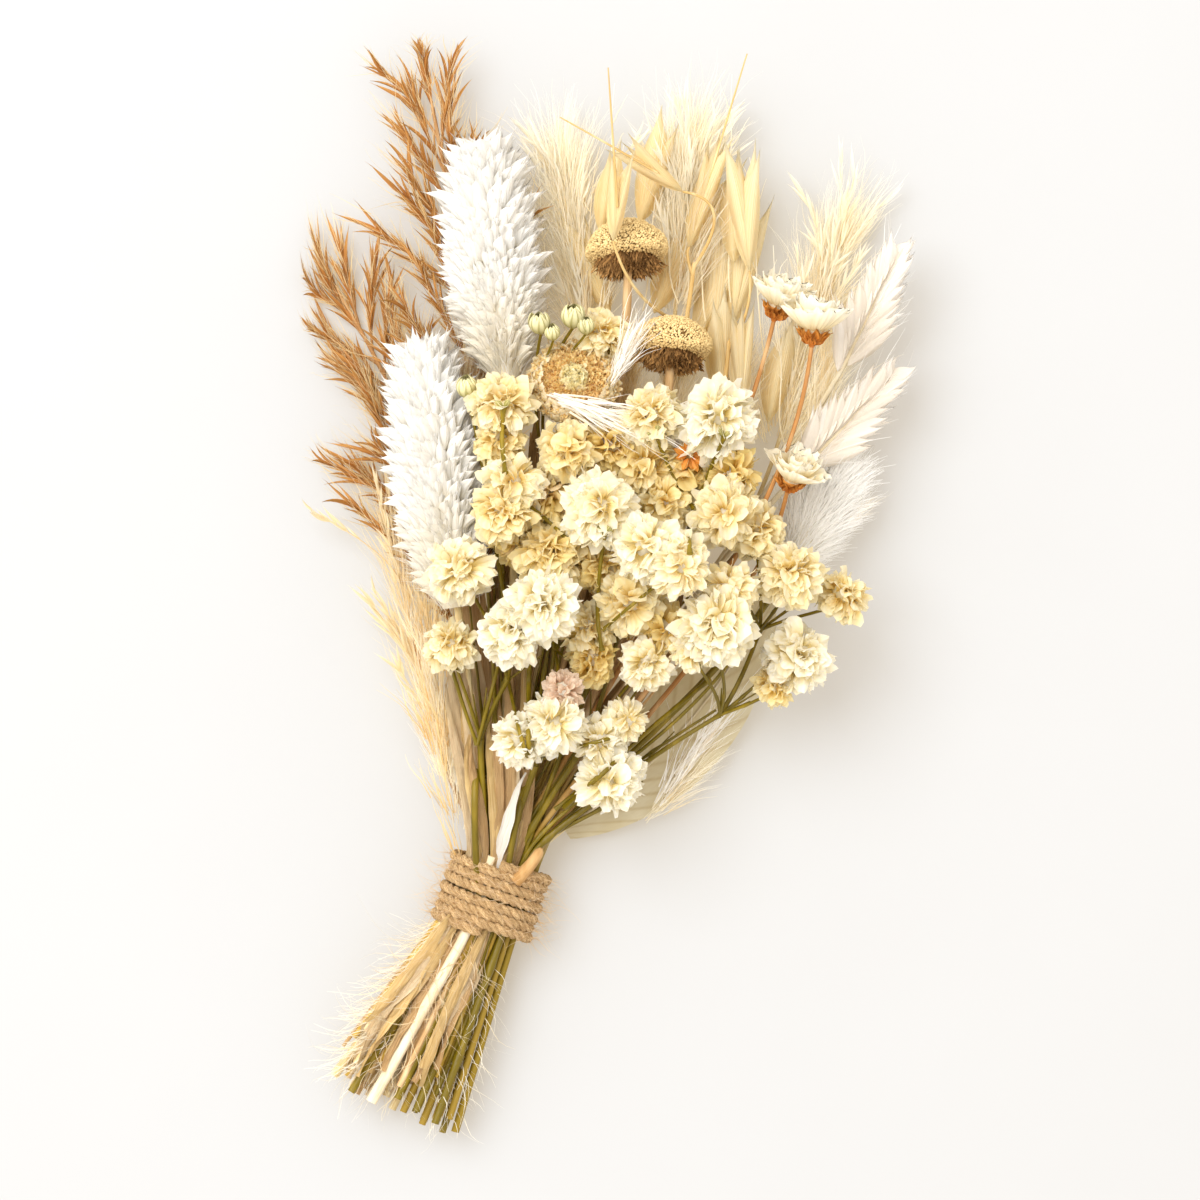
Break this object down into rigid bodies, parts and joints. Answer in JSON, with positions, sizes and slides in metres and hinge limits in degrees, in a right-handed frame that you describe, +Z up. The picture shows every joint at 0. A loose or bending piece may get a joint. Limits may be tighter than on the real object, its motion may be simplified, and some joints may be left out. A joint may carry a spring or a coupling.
{
  "type": "tied bunch of dried grasses and flowers",
  "caption": "Hand-tied bunch of dried grasses, seed heads and small cream flowers, bound with jute twine round its stems, lying flat as a decoration",
  "frame": {"origin": "on the surface that the bunch lies on, under the middle of the twine binding", "axes": "+Y along the bunch towards its heads, +X across it to its right seen from above, +Z up through its face"},
  "size_m": [0.1224, 0.2186, 0.0469],
  "materials": {
    "jute": "matte, twisted jute",
    "petals": "matte, dried petals",
    "green_stem": "satin, dried green stem",
    "reed": "matte, brown spikelets",
    "tan_grass": "matte, dried grass",
    "pale_plume": "matte, soft hair",
    "straw": "satin, papery husk",
    "bleached": "matte, bleached glumes",
    "straw_stem": "satin, straw",
    "tan_stem": "matte, dried stalk",
    "seed_head": "matte, fine stubble",
    "button": "matte, close bracts",
    "orange_stem": "matte, dried calyx",
    "daisy": "matte, papery petals",
    "leaf": "matte, thin dried leaf"
  },
  "bodies": {
    "root": {"bloom_1": "petals", "bloom_10": "petals", "bloom_11": "petals", "bloom_12": "petals", "bloom_13": "petals", "bloom_14": "petals", "bloom_15": "petals", "bloom_16": "petals", "bloom_17": "petals", "bloom_18": "petals", "bloom_19": "petals", "bloom_2": "petals", "bloom_20": "petals", "bloom_21": "petals", "bloom_22": "petals", "bloom_3": "petals", "bloom_4": "petals", "bloom_5": "petals", "bloom_6": "petals", "bloom_7": "petals", "bloom_8": "petals", "bloom_9": "petals", "bunny": "bleached", "bunny_stem": "straw_stem", "button": "button", "button_stem": "straw_stem", "canary_high": "bleached", "canary_high_stem": "straw_stem", "canary_low": "bleached", "canary_low_stem": "straw_stem", "daisy_front": "daisy", "daisy_front_stem": "orange_stem", "daisy_high": "daisy", "daisy_high_stem": "orange_stem", "daisy_low": "daisy", "daisy_low_stem": "orange_stem", "dome_high": "seed_head", "dome_high_stem": "tan_stem", "dome_low": "seed_head", "dome_low_stem": "tan_stem", "ear_high": "bleached", "ear_low": "bleached", "gypsophila_centre": "green_stem", "gypsophila_inner": "green_stem", "gypsophila_left": "green_stem", "gypsophila_right": "green_stem", "middle_plume": "pale_plume", "oats_left": "straw", "oats_right": "straw", "pale_leaf": "leaf", "reed_left": "reed", "reed_top": "reed", "right_plume": "pale_plume", "straw_blades": "tan_grass", "tan_plume": "tan_grass", "top_plume": "pale_plume", "twine": "jute", "white_blade": "bleached"}
  },
  "joints": []
}
